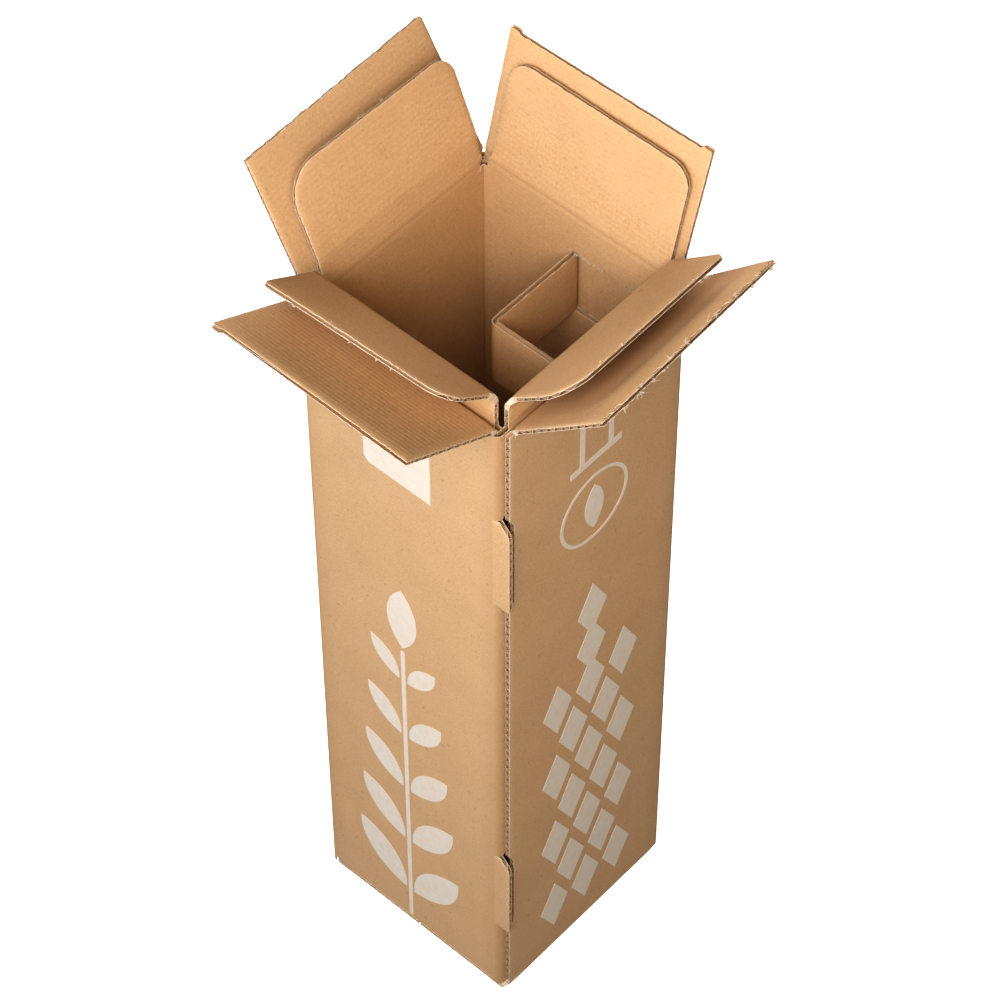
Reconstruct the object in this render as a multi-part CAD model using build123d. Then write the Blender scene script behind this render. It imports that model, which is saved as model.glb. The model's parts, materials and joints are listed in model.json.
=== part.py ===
from build123d import *
import os
from math import cos, radians, sin, sqrt

# Bottle shipping box: one long corrugated sheet wound twice round a square, with its top flaps open.
# X runs along the front, Y from the front to the back, Z up. The origin is the middle of the bottom.
# All sizes are in millimetres and all angles in degrees.

# Corrugated board, and how far past a face a cut runs
board = 3.0
layer_gap = 0.3
overrun = 1.0
liner = 0.35
flute_pitch = 5.4
flute_mouth = 4.1
flute_foot = 0.7
flute_web = 0.35
flute_pocket = 1.6

# Room for the bottle
clear_width = 105.0
clear_height = 420.0

# Winding of the sheet
fold_radius = 1.8
end_setback = 4.0
start_gap = 0.3

# Closed bottom flaps
bottom_seam = 0.8
bottom_slit = 1.5
bottom_clearance = 0.5
bottom_round = 2.2

# Creases at the top: the side pair lies one board lower, and folds first
outer_drop = 1.5
riser = 15.4
crease_depth = 0.5
crease_width = 3.0
joint_clearance = 0.15

# Outer top flaps
outer_reach = 64.0
outer_slit = 1.5
root_inset = 1.8
outer_lift = {"front": 28.0, "right": 44.5, "back": 74.5, "left": 60.0}

# Inner top flaps
inner_reach = 37.5
inner_slit = 2.0
inner_front_gap = 0.5
inner_corner = 17.0
bead_radius = 0.9
neck_half = 0.5
crease_run = 4.0
inner_lift = {"front": 34.5, "right": 41.5, "back": 75.5, "left": 77.5}
left_bend = 10.5

# Corner band of the inner wall, popped inwards
band_drop = 23.0
band_height = 37.7
band_slit = 0.3

# Lock tabs of the front panel, and the notches that they leave
tab_reach = 5.7
tab_height = 60.0
tab_shoulder = 6.5
tab_shoulder_round = 8.0
tab_foot_round = 1.5
tab_feet = (58.0, 317.0)
tab_gap = 1.0
notch_reach = 4.0

# Print: fields of white ink on the front and right faces
ink = 0.15
patch_x = (-23.0, 16.4)
patch_z = (356.0, 412.0)
patch_chamfer = 3.0
sprig_x = -3.5
sprig_z = (8.0, 277.0)
sprig_pairs = 5
sprig_leaf = (46.0, 27.0)
sprig_angle = 40.0
leaf_ratio = 0.42
stem_width = 2.6
bars_y = (-8.4, 10.5)
bars_z = (372.0, 412.0)
bar_width = 3.2
bar_line = (-16.0, 17.5)
bar_line_height = 4.0
ring_centre = (0.3, 336.0)
ring_radius = 22.5
ring_width = 2.0
ring_leaf = 30.0
lattice_y = 1.0
lattice_z = (20.0, 279.0)
lattice_gap = 3.0
diamond = (20.0, 38.0)
diamond_rows = (3, 2, 3, 2, 3, 2, 3, 1, 1)

# Sizes worked out from those above
level = board + layer_gap
outer_half = clear_width / 2 + board + level
outer_mid = outer_half - board / 2
inner_face = clear_width / 2
inner_mid = inner_face + board / 2
inner_back = inner_face + board
fold_line = inner_face + level
floor_top = 3 * level + board
side_crease = floor_top + clear_height + board / 2
end_crease = side_crease + level
strip_height = side_crease - outer_drop
end_edge = -outer_half + end_setback
start_edge = inner_face - start_gap
band_top = end_crease - band_drop
band_bottom = band_top - band_height

OUTWARD = {
    "front": Vector(0, -1, 0),
    "right": Vector(1, 0, 0),
    "back": Vector(0, 1, 0),
    "left": Vector(-1, 0, 0),
}
ENDS = ("front", "back")
SIDES = ("left", "right")


def block(x, y, z):
    """A box from three (low, high) pairs."""
    low = Vector(x[0], y[0], z[0])
    size = Vector(x[1], y[1], z[1]) - low
    return Pos(low) * Box(size.X, size.Y, size.Z, align=(Align.MIN, Align.MIN, Align.MIN))


def wall_block(wall, out, along, z):
    """A box on one wall, given by its distances outwards, its stretch along the wall and its heights."""
    outward = OUTWARD[wall].X + OUTWARD[wall].Y
    span = tuple(sorted(outward * v for v in out))
    if wall in ENDS:
        return block(along, span, z)
    return block(span, along, z)


def wall_plane(wall, out, z):
    """A plane across a wall: its X points outwards, its Y up, and its Z along the wall."""
    outward = OUTWARD[wall]
    return Plane(origin=outward * out + Vector(0, 0, z), x_dir=outward, z_dir=outward.cross(Vector(0, 0, 1)))


def plane_span(wall, along):
    """A stretch along a wall, as heights over that wall's plane."""
    normal = OUTWARD[wall].cross(Vector(0, 0, 1))
    return tuple(sorted((normal.X + normal.Y) * v for v in along))


def across(wall, out, z, profile, along):
    """Extrudes a profile, drawn outwards and up, along a stretch of a wall."""
    low, high = plane_span(wall, along)
    plane = wall_plane(wall, out, z)
    return extrude(plane.offset(low) * profile, amount=high - low, dir=plane.z_dir)


def wider(span, gap):
    return span[0] - gap, span[1] + gap


def turned(sketch, angle):
    return Rot(0, 0, angle) * sketch


def flute_cells(start, stop):
    """The air cells between the two liners, as seen on an edge cut across the flutes."""
    inside = board / 2 - liner
    foot = inside - flute_web
    mouth = flute_mouth / 2
    tip = flute_foot / 2
    step = flute_pitch / 2
    count = int((stop - start) / step) - 1
    first = (start + stop - (count - 1) * step) / 2
    cells = []
    for i in range(count):
        s = first + i * step
        up = 1 if i % 2 else -1
        corners = [(-mouth, inside), (-tip, -foot), (tip, -foot), (mouth, inside)]
        cells.append(Polygon(*[(s + up * x, up * y) for x, y in corners], align=None))
    return Sketch() + cells


# Flap sizes

def crease_height(wall):
    return side_crease if wall in SIDES else end_crease


def pair_extra(wall):
    """The side flaps start one board lower and are that much longer."""
    return level if wall in SIDES else 0


def inner_hinge(wall):
    """The front and right inner flaps are folded above their risers, the others at the foot."""
    return crease_height(wall) + (riser if wall in ("front", "right") else 0)


def outer_span(wall):
    """Where an outer flap begins and ends along its wall."""
    low = -outer_half + outer_slit
    high = outer_half - outer_slit
    if wall == "front":
        high = fold_line - outer_slit
    if wall == "right":
        low = end_edge + outer_slit
    return low, high


def inner_span(wall):
    """Where an inner flap begins and ends along its wall."""
    low = -inner_face + inner_slit
    high = inner_face - inner_slit
    if wall == "front":
        high = start_edge
    if wall == "right":
        low = -inner_face + inner_front_gap
    return low, high


def riser_span(wall):
    """The same for the stretch under an inner flap. On the right it reaches to the fold of the front panel."""
    low, high = inner_span(wall)
    if wall == "right":
        low = -inner_back + inner_slit
    return low, high


# Flaps

def outer_flap(wall):
    """A square-cornered flap whose rounded root turns in the hollowed top of the wall."""
    lift = outer_lift[wall]
    reach = outer_reach + pair_extra(wall)
    height = crease_height(wall) - outer_drop
    plate = Pos(reach / 2, board / 2) * Rectangle(reach, board)
    plate -= Pos(0, board / 2) * flute_cells(board, reach - liner)
    face = radians(lift + 90)
    middle = radians((lift + 90 + 270) / 2)
    corner = (board * cos(face), board * sin(face))
    arc = ThreePointArc(corner, (board * cos(middle), board * sin(middle)), (0, -board))
    root = make_face(Polyline((0, -board), (0, 0), corner) + arc)
    span = outer_span(wall)
    flap = across(wall, outer_half, height, turned(plate, lift), span)
    return flap + across(wall, outer_half, height, root, wider(span, -root_inset))


def crushed_board(length):
    """An inner flap's section: a round bead, a thin crushed neck, then the full board."""
    lower = [(0, -neck_half), (bead_radius, -neck_half), (crease_run, -board / 2), (length, -board / 2)]
    upper = [(x, -y) for x, y in reversed(lower)]
    return Circle(bead_radius) + Polygon(*lower, *upper, align=None)


def crease_grooves(s):
    """A crease that is scored but lies flat: a shallow groove on both faces."""
    half = crease_width / 2
    corners = [(-half, board / 2), (0, board / 2 - crease_depth), (half, board / 2)]
    grooves = [Polygon(*[(s + face * x, face * y) for x, y in corners], align=None) for face in (-1, 1)]
    return Sketch() + grooves


def rounded_plate(start, length, span):
    """A flap's outline, with its two free corners rounded."""
    low, high = span
    outline = Pos((start + length) / 2, (low + high) / 2) * Rectangle(length - start, high - low)
    free = outline.vertices().sort_by(Axis.X)[-2:]
    return fillet(free, inner_corner)


def inner_flap(wall):
    """A flap with two round free corners, still carrying its riser at the back and on the left."""
    panel = inner_reach + pair_extra(wall)
    foot = riser if wall in ("back", "left") else 0
    length = foot + panel
    section = crushed_board(length)
    if foot:
        section -= crease_grooves(foot)
        section -= flute_cells(crease_run, foot - crease_width / 2)
        section -= flute_cells(foot + crease_width / 2, length - liner)
    else:
        section -= flute_cells(crease_run, length - liner)
    span = plane_span(wall, inner_span(wall))
    flap = extrude(Plane.XY.offset(span[0]) * section, amount=span[1] - span[0])
    outline = rounded_plate(-board, length, span)
    flap &= extrude(Plane.XZ * outline, amount=board, both=True)
    if wall == "left":
        flap = bent(flap, foot)
    plane = wall_plane(wall, inner_mid, inner_hinge(wall))
    return plane.location * Rot(0, 0, inner_lift[wall]) * flap


def bent(flap, at):
    """Folds the part of a flap beyond its upper crease a little outwards, with a mitre at the crease."""
    tilt = radians(left_bend / 2)
    near = split(flap, bisect_by=Plane(origin=(at, 0, 0), z_dir=(cos(tilt), -sin(tilt), 0)), keep=Keep.BOTTOM)
    far = split(flap, bisect_by=Plane(origin=(at, 0, 0), z_dir=(cos(tilt), sin(tilt), 0)), keep=Keep.TOP)
    return near + Pos(at, 0) * Rot(0, 0, -left_bend) * Pos(-at, 0) * far


# Sleeve

def wound_strip():
    """The sheet wound twice: it starts inside the front, and ends on the right over the front's fold."""
    turns = [
        (start_edge, -inner_mid),
        (-inner_mid, -inner_mid),
        (-inner_mid, inner_mid),
        (inner_mid, inner_mid),
        (inner_mid, -outer_mid),
        (-outer_mid, -outer_mid),
        (-outer_mid, outer_mid),
        (outer_mid, outer_mid),
        (outer_mid, end_edge),
    ]
    return extrude(trace(FilletPolyline(*turns, radius=fold_radius), line_width=board), amount=strip_height)


def bottom_corner(wall, out, z, along):
    """What the fold between a wall and its bottom flap rounds off."""
    square = Pos(-bottom_round / 2, bottom_round / 2) * Rectangle(bottom_round, bottom_round)
    disc = Pos(-bottom_round, bottom_round) * Circle(bottom_round)
    return across(wall, out, z, square - disc, along)


def add_bottom(sleeve):
    """Folds the bottom flaps: outer sides, outer ends, inner sides and inner ends, one on the other."""
    turn = outer_half - board - layer_gap / 2
    under = -board
    inner_straight = inner_back - level
    sleeve -= block((-turn, turn), (-turn, turn), (under, 2 * level))
    sleeve -= block((-fold_line + layer_gap, fold_line), (-outer_half - overrun, -turn), (under, level))
    sleeve -= block((-fold_line + layer_gap, fold_line - layer_gap), (turn, outer_half + overrun), (under, level))
    for wall in ENDS:
        inner_wall = (inner_face - layer_gap / 2, turn)
        sleeve -= wall_block(wall, inner_wall, (-inner_straight, inner_straight), (under, 3 * level))
    layers = [(outer_half, SIDES), (outer_half, ENDS), (inner_back, SIDES), (inner_back, ENDS)]
    for step, (face, pair) in enumerate(layers):
        half_width = face - (bottom_slit if pair is SIDES else board + bottom_clearance)
        along = (-half_width, half_width)
        for wall in pair:
            z = step * level
            flap = wall_block(wall, (bottom_seam / 2, face), along, (z, z + board))
            sleeve += flap
            if face == outer_half:
                sleeve -= bottom_corner(wall, face, z, (-outer_half, outer_half))
    return sleeve


def crease_lip(wall, along):
    """What is cut off a wall's top so that a lip is left under an inner flap's bead."""
    reach = bead_radius + joint_clearance
    lip = sqrt(reach**2 - neck_half**2)
    slot = (board + layer_gap) / 2
    right = [(neck_half, -lip), (board / 2, -crease_run), (slot, -crease_run), (slot, crease_run)]
    left = [(-x, y) for x, y in reversed(right)]
    return across(wall, inner_mid, inner_hinge(wall), Polygon(*right, *left, align=None) + Circle(reach), along)


def add_top(sleeve):
    """Brings each wall to its own crease, with the two risers, and shapes the creases."""
    base = strip_height - board
    for wall in OUTWARD:
        along = riser_span(wall)
        sleeve += wall_block(wall, (inner_face, inner_back), along, (base, inner_hinge(wall)))
        sleeve -= crease_lip(wall, wider(along, joint_clearance))
        if wall in ("front", "right"):
            grooves = turned(crease_grooves(0), 90)
            sleeve -= across(wall, inner_mid, crease_height(wall), grooves, wider(along, joint_clearance))
    for wall in OUTWARD:
        height = crease_height(wall) - outer_drop
        along = wider(outer_span(wall), -root_inset)
        if wall in ENDS:
            sleeve += wall_block(wall, (outer_half - board, outer_half), along, (base, height))
        hollow = Circle(board + joint_clearance)
        sleeve -= across(wall, outer_half, height, hollow, wider(along, joint_clearance))
    return sleeve


def pop_in_band(sleeve):
    """Cuts the corner band free along two slits and folds it in to the middle of the box."""
    half = board / 2
    far = inner_back + layer_gap / 2
    sleeve -= block((half, far), (half, far), (band_bottom, band_top))
    heights = (band_bottom + band_slit, band_top - band_slit)
    sleeve += block((-half, half), (-half, inner_back), heights)
    sleeve += block((-half, inner_back), (-half, half), heights)
    return sleeve


def tab_outline(foot, reach, gap):
    """A lock tab seen from the front: a round slanting shoulder above a square foot."""
    low = foot - gap
    high = foot + tab_height + gap
    outline = Polygon((0, low), (reach, low), (reach, high - tab_shoulder), (0, high), align=None)
    tips = outline.vertices().group_by(Axis.X)[-1].sort_by(Axis.Y)
    outline = fillet(tips[-1], tab_shoulder_round)
    tips = outline.vertices().group_by(Axis.X)[-1].sort_by(Axis.Y)
    return fillet(tips[0], tab_foot_round)


def lock_tabs(sleeve):
    """Leaves the tabs standing in the front panel's plane, with their window and the notch over it."""
    front = Plane(origin=(fold_line, -outer_half, 0), x_dir=(1, 0, 0), z_dir=(0, -1, 0))
    right = Plane(origin=(outer_half, -outer_half + board, 0), x_dir=(0, 1, 0), z_dir=(1, 0, 0))
    turn = outer_half - board - layer_gap / 2
    for foot in tab_feet:
        window = extrude(right * tab_outline(foot, tab_reach + tab_gap, tab_gap), amount=-2 * level)
        notch = extrude(right * tab_outline(foot, notch_reach, tab_gap), amount=-level, both=True)
        sleeve -= window & block((inner_face - overrun, turn), (-outer_half, 0), (0, strip_height))
        sleeve -= notch & block((turn, outer_half + overrun), (-outer_half, 0), (0, strip_height))
        tab = extrude(front * tab_outline(foot, tab_reach, 0), amount=-board)
        root = block((inner_face - overrun, fold_line), (-outer_half, -outer_half + board), (foot, foot + tab_height))
        sleeve += tab + root
    return sleeve


def flute_mouths(sleeve):
    """Opens the flutes on the end edge that runs down the front corner."""
    cells = turned(flute_cells(level, strip_height - level), 90)
    edge = Plane(origin=(outer_mid, end_edge, 0), x_dir=(1, 0, 0), z_dir=(0, -1, 0))
    return sleeve - extrude(edge * cells, amount=-flute_pocket)


def wound_sleeve():
    sleeve = wound_strip()
    sleeve = add_bottom(sleeve)
    sleeve = add_top(sleeve)
    sleeve = pop_in_band(sleeve)
    sleeve = lock_tabs(sleeve)
    return flute_mouths(sleeve)


# Print

def leaf(length):
    """A pointed leaf that stands on its tip."""
    width = leaf_ratio * length
    radius = (length**2 + width**2) / (4 * width)
    shift = radius - width / 2
    return Pos(0, length / 2) * (Pos(shift, 0) * Circle(radius) & Pos(-shift, 0) * Circle(radius))


def bar(x, low, high, width):
    return Pos(x, (low + high) / 2) * Rectangle(width, high - low)


def sprig():
    """A stem with leaves in pairs, smaller towards the top."""
    low, high = sprig_z
    longest, shortest = sprig_leaf
    top = high - longest
    fields = [bar(sprig_x, low, top, stem_width), Pos(sprig_x, top + stem_width) * leaf(longest - stem_width)]
    for i in range(sprig_pairs):
        share = i / (sprig_pairs - 1)
        foot = low + longest / 2 + share * (top - low - longest)
        length = longest + share * (shortest - longest)
        for sign in (-1, 1):
            aside = Pos(sprig_x + sign * stem_width, foot) * Rot(0, 0, -sign * sprig_angle)
            fields.append(aside * leaf(length))
    return Sketch() + fields


def front_print():
    """The pale patch under the flap, and the sprig below it."""
    low, high = patch_z
    patch = bar(sum(patch_x) / 2, low, high, patch_x[1] - patch_x[0])
    patch = chamfer(patch.vertices().sort_by(Axis.Y)[:2].sort_by(Axis.X)[0], patch_chamfer)
    face = Plane(origin=(0, -outer_half, 0), x_dir=(1, 0, 0), z_dir=(0, -1, 0))
    return extrude(face * (patch + sprig()), amount=ink)


def lattice():
    """Rows of diamonds, narrower towards the top."""
    low, high = lattice_z
    wide, tall = diamond
    rise = (high - low - tall) / (len(diamond_rows) - 1)
    fields = []
    for row, count in enumerate(diamond_rows):
        for i in range(count):
            y = lattice_y + (i - (count - 1) / 2) * (wide + lattice_gap)
            corners = [(-wide / 2, 0), (0, -tall / 2), (wide / 2, 0), (0, tall / 2)]
            fields.append(Pos(y, low + tall / 2 + row * rise) * Polygon(*corners, align=None))
    return Sketch() + fields


def side_print():
    """Two bars on a line, a ring round a leaf, and the lattice below them."""
    bars = [bar(y, bars_z[0], bars_z[1], bar_width) for y in bars_y]
    line = bar(sum(bar_line) / 2, bars_z[0] - bar_line_height, bars_z[0], bar_line[1] - bar_line[0])
    ring = Pos(*ring_centre) * (Circle(ring_radius) - Circle(ring_radius - ring_width))
    badge = Pos(ring_centre[0], ring_centre[1] - ring_leaf / 2) * leaf(ring_leaf)
    face = Plane(origin=(outer_half, 0, 0), x_dir=(0, 1, 0), z_dir=(1, 0, 0))
    return extrude(face * (Sketch() + bars + line + ring + badge + lattice()), amount=ink)


nodes = {"wound_sleeve": wound_sleeve(), "front_print": front_print(), "side_print": side_print()}
for wall in OUTWARD:
    nodes[f"outer_flap_{wall}"] = outer_flap(wall)
    nodes[f"inner_flap_{wall}"] = inner_flap(wall)

os.makedirs("parts", exist_ok=True)
for name, shape in nodes.items():
    export_step(shape, f"parts/{name}.step")
    print(name, len(shape.solids()), "solids", round(shape.volume), "mm3")
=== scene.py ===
import json
import math

import bmesh
import bpy
import numpy as np
from mathutils import Matrix, Vector


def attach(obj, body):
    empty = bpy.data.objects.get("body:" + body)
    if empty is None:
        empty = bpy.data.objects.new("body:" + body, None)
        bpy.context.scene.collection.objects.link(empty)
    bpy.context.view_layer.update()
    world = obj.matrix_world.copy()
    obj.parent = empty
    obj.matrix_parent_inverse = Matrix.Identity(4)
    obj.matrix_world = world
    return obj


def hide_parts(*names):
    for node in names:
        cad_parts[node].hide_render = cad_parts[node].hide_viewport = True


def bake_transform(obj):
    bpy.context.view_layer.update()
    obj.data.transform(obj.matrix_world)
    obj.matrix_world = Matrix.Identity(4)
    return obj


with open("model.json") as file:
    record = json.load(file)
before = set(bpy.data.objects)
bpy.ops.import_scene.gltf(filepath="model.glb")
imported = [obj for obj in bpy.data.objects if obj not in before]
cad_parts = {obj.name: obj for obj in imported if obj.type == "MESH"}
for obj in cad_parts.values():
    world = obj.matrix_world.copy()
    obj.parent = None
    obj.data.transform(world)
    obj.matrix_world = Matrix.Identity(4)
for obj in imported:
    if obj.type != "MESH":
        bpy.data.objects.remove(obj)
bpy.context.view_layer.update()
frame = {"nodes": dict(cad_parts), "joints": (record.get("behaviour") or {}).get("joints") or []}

# Sizes are in millimetres and angles in degrees. Meshes are written in metres.
MM = 0.001

# Texture coordinates: their scale, and what sets the two faces of a layer apart
UV_PER_MM = MM * 10
UV_FACE_SHIFT = 3

# Corrugated board: 0 is the face outside the box, BOARD the face inside it
BOARD = 3.0
LINER = 0.35
LINERS = ((0, LINER), (BOARD - LINER, BOARD))
MEDIUM = 0.26
FLUTE = 5.4
GAP = 0.3
LEVEL = BOARD + GAP
FACE_SLOT, EDGE_SLOT, MEDIUM_SLOT = range(3)

# Cut edges: the share by which board is pressed thinner there, how far in that reaches, how far in
# it is measured, and how far the fluted layer stays behind the liners
CRUSH = 0.3
WALL_CRUSH = 0.18
FREE_CRUSH = 0.42
STRIP_CRUSH = 0.15
CRUSH_RUN = 1.1
RIM_REACH = 6.0
MEDIUM_INSET = 0.7

# Grid steps: on walls, on flaps, across the flutes, and closer lines beside a cut edge
WALL_STEP = 9.0
FLAP_STEP = 4.5
FLUTE_STEP = 0.42
EDGE_STEPS = (0.35, 0.9, 2.0)
FOOT_STEPS = (-3, -1.6, -0.8, 0, 0.8, 1.6, 3)
CREASE_STEPS = (-2.4, -1.2, 0, 1.2, 2.4)
TINY = 0.01
RIM_BLOCK = 200
SHARP_ANGLE = 38

# A crease's strip: its grid, and where its ends widen from the root's span to the flap's
STRIP_ROWS = 17
STRIP_COLUMNS = 25
EASE_START = 0.5
EASE_RUN = 3.0

# A torn fibre's rings, as shares of its length and width, its curl, and how far a tuft spreads
FIBRE_RINGS = ((-0.3, 1.0), (0.5, 0.8), (1.0, 0.25))
FIBRE_CURL = 0.35
FIBRE_SPREAD = 0.3

# The box
CLEAR = 105.0
OUTER_HALF = CLEAR / 2 + BOARD + LEVEL
OUTER_MID = OUTER_HALF - BOARD / 2
INNER_FACE = CLEAR / 2
INNER_MID = INNER_FACE + BOARD / 2
INNER_BACK = INNER_FACE + BOARD
FOLD_LINE = INNER_FACE + LEVEL
FOLD_RADIUS = 1.8
START_EDGE = INNER_FACE - GAP
END_INSET = 4.0
END_EDGE = -OUTER_HALF + END_INSET
STRIP_HEIGHT = 432.9
SIDE_CREASE = 434.4
END_CREASE = SIDE_CREASE + LEVEL
RISER = 15.4

# The corner band: its place, its slits, its reach past the folds, and where its top slit is torn
BAND_DROP = 23.0
BAND_HEIGHT = 37.7
BAND_TOP = END_CREASE - BAND_DROP
BAND_BOTTOM = BAND_TOP - BAND_HEIGHT
BAND_SLIT = 0.3
BAND_REACH = 3.0
BAND_TEARS = ((1.5, 16.5), (29.0, 39.0))

# Bottom flaps: the gap where two meet, how far they stay back from the corners, how far their roots
# stay clear of the round folds, and the lowest board of the outer and the inner walls beside them
BOTTOM_SEAM = 0.4
BOTTOM_SIDE_INSET = 1.5
BOTTOM_END_INSET = BOARD + 0.5
BOTTOM_CLEAR = 0.1
OUTER_LOW = 4.0
INNER_LOW = 14.0

# Lock tabs, and the notches that the end edge steps back round them
TAB_ROOT = INNER_MID - FOLD_RADIUS
TAB_SHARES = np.array([0, 0.3, 0.6, 0.8, 0.93, 1.0])
TAB_FEET = (58.0, 317.0)
TAB_HEIGHT = 60.0
TAB_REACH = 5.7
TAB_SHOULDER = 6.5
TAB_ROUND = 8.0
TAB_TOE = 1.5
TAB_GAP = 1.0
NOTCH_REACH = 4.0
NOTCH_START = 1.0
NOTCH_RUN = 12.0

# Creases: how far the crushed board of a fold reaches on each side of it, its score, and the widths of the
# painted shade line along a crease and along a round corner of the sheet
FOLD_RUN = 4.0
UPPER_RUN = 5.0
BOTTOM_RUN = 5.0
SCORE_DEPTH = 0.32
SOFT_SCORE = 0.12
SCORE_WIDTH = 1.2
CREASE_SHADE_WIDTH = 0.55
CORNER_SHADE_WIDTH = 1.6

# Top flaps: their reach, and how far their ends and their roots stay back from the corners
OUTER_REACH = 64.0
INNER_REACH = 37.5
SIDE_EXTRA = LEVEL
OUTER_INSET = 1.5
INNER_INSET = 2.0
SLOT_INSET = 0.5
ROOT_INSET = 1.8
MOUTH_SLOT = 1.8

# For each wall, at the low and the high end of its crease: the lift, and the free corner's radius
OUTER_LIFT = {"front": (27.5, 28.5), "right": (43.0, 46.5), "back": (75.0, 74.0), "left": (62.0, 58.0)}
INNER_LIFT = {"front": (32.5, 37.5), "right": (40.5, 42.5), "back": (75.5, 75.5), "left": (76.5, 78.5)}
CORNER_ROUND = {"front": (3.0, 13.0), "right": (18.0, 5.0), "back": (12.0, 11.0), "left": (17.0, 10.0)}

# How much further the inner left flap leans out past its upper crease
LEFT_BEND = 10.5

# Trims of single flaps: how much longer each end is, and the reach at each end
NO_TRIM = (0.0, 0.0, 0.0, 0.0)
TRIM = {
    "outer_flap_front": (-1.8, 0.8, -5.2, -1.5),
    "outer_flap_back": (-1.8, -1.8, 0.2, 0.2),
    "outer_flap_left": (-2.8, 0.4, 1.2, 1.8),
    "outer_flap_right": (0.0, 0.0, 0.3, 1.0),
    "inner_flap_back": (-1.8, 1.0, 2.2, 1.6),
    "inner_flap_left": (-3.5, 1.5, 1.6, 1.6),
}

# Small steps of a free edge beside its corners: their length, and how far each stands out
STEP_LENGTH = 5.5
STEP_PROUD = {"outer_flap_back": (1.3, 1.4), "outer_flap_front": (1.4, 0.0)}

# How deep a free edge is bitten and how many small tufts it has, where that isn't the usual.
# A rough edge gets closer grid lines, and each row stays a little behind the next
USUAL_TEAR = 0.15
ROUGH_TEAR = 0.3
TEAR = {"outer_flap_right": 1.6, "outer_flap_left": 0.5, "inner_flap_right": 0.4, "inner_flap_front": 0.4}
USUAL_TUFTS = 3
TUFTS = {"outer_flap_right": 26, "outer_flap_left": 12, "inner_flap_left": 7, "inner_flap_right": 7}
TUFT_INSET = 2
ROUGH_STEP = 0.8
SMOOTH_STEP = 1.3
ROW_GAP = 0.04

# Bites: how far apart, their half lengths, and their depths as shares. Wavering edges: pitch and size
BITE_PITCH = 4.5
BITE_HALF = (0.7, 2.2)
BITE_DEPTH = (0.3, 1.0)
EDGE_WAVER = (1.4, 0.10)
END_WAVER = (1.5, 0.07)

# Large torn tufts on a flap's free edge: the longest fibre, and the places along the crease
TORN_LOOK = {"each": 9, "scatter": 0.9, "width": (0.08, 0.17)}
TORN_SPOTS = {
    "outer_flap_right": (3.0, (-41, -31, -22.7, -10.3, 0.5, 14, 19, 31.8, 40.4, 45.7, 53)),
    "outer_flap_left": (1.3, (-50, -41, -30, -18, -7, 3, 12, 35)),
    "inner_flap_front": (1.1, (-32.6, -13.2, -1.8, 13, 21)),
    "inner_flap_right": (1.3, (-15, -5, 33, 36)),
}

# Walls, and where each top crease begins and ends along its wall
OUTWARD = {"front": (0, -1), "right": (1, 0), "back": (0, 1), "left": (-1, 0)}
WALLS = tuple(OUTWARD)
SIDES = ("left", "right")
OUTER_END = OUTER_HALF - OUTER_INSET
INNER_END = INNER_FACE - INNER_INSET
OUTER_SPAN = {
    "front": (-OUTER_END, FOLD_LINE - OUTER_INSET),
    "right": (END_EDGE + OUTER_INSET, OUTER_END),
    "back": (-OUTER_END, OUTER_END),
    "left": (-OUTER_END, OUTER_END),
}
INNER_SPAN = {
    "front": (-INNER_END, START_EDGE - MOUTH_SLOT),
    "right": (SLOT_INSET - INNER_FACE + MOUTH_SLOT, INNER_END),
    "back": (-INNER_END, INNER_END),
    "left": (-INNER_END, INNER_END),
}
RISER_SPAN = {**INNER_SPAN, "right": (INNER_INSET - INNER_BACK + MOUTH_SLOT, INNER_END)}

# The camera, in metres and degrees, solved from the box's corners in the photograph
PHOTO_WIDTH = 1000
SENSOR = 36.0
FOCAL_PIXELS = 4010.0
CAMERA_AT = (0.7529, -0.8321, 1.7154)
CAMERA_AZIMUTH = 42.0
CAMERA_ELEVATION = 51.78
CAMERA_ROLL = -0.144

# The studio: each light's azimuth, elevation, distance and size in metres, power and colour
LIGHT_HEIGHT = 0.42
LIGHTS = {
    "key_light": (18, 30, 0.88, 0.7, 8.3, (0.80, 0.90, 1.0)),
    "high_light": (32, 50, 1.2, 0.7, 6.8, (1.0, 0.80, 0.56)),
    "side_light": (45, 35, 1.2, 0.7, 6.6, (1.0, 0.82, 0.56)),
    "low_side_light": (78, -4, 1.2, 0.5, 1.8, (1.0, 0.85, 0.62)),
    "left_light": (-52, 20, 1.2, 0.7, 5.6, (1.0, 0.93, 0.84)),
    "back_light": (215, 6, 1.6, 1.0, 20.0, (1.0, 0.88, 0.76)),
}
AMBIENT = 0.03
FLOOR_GLOW = 0.75
FLOOR_HALF = 5.0


# Mesh tools

def spread(low, high, step, extra=()):
    """Sorted grid lines from low to high, at most a step apart, with extra ones kept."""
    stops = sorted({low, high, *[e for e in extra if low < e < high]})
    lines = []
    for a, b in zip(stops, stops[1:]):
        count = max(1, math.ceil((b - a) / step - 1e-6))
        lines += [a + (b - a) * i / count for i in range(count)]
    return np.array(lines + [stops[-1]])


def edged(low, high, step, ends=EDGE_STEPS):
    """Grid lines that crowd towards both ends."""
    return spread(low, high, step, [low + e for e in ends] + [high - e for e in ends])


def smooth_noise(lines, pitch, size, rng):
    """A random line through points a pitch apart."""
    start, stop = lines[0] - pitch, lines[-1] + pitch
    knots = np.arange(start, stop + pitch, pitch)
    return np.interp(lines, knots, rng.normal(0, size, len(knots)))


def new_object(name, data):
    """A new object in the scene."""
    piece = bpy.data.objects.new(name, data)
    bpy.context.scene.collection.objects.link(piece)
    return piece


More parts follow.
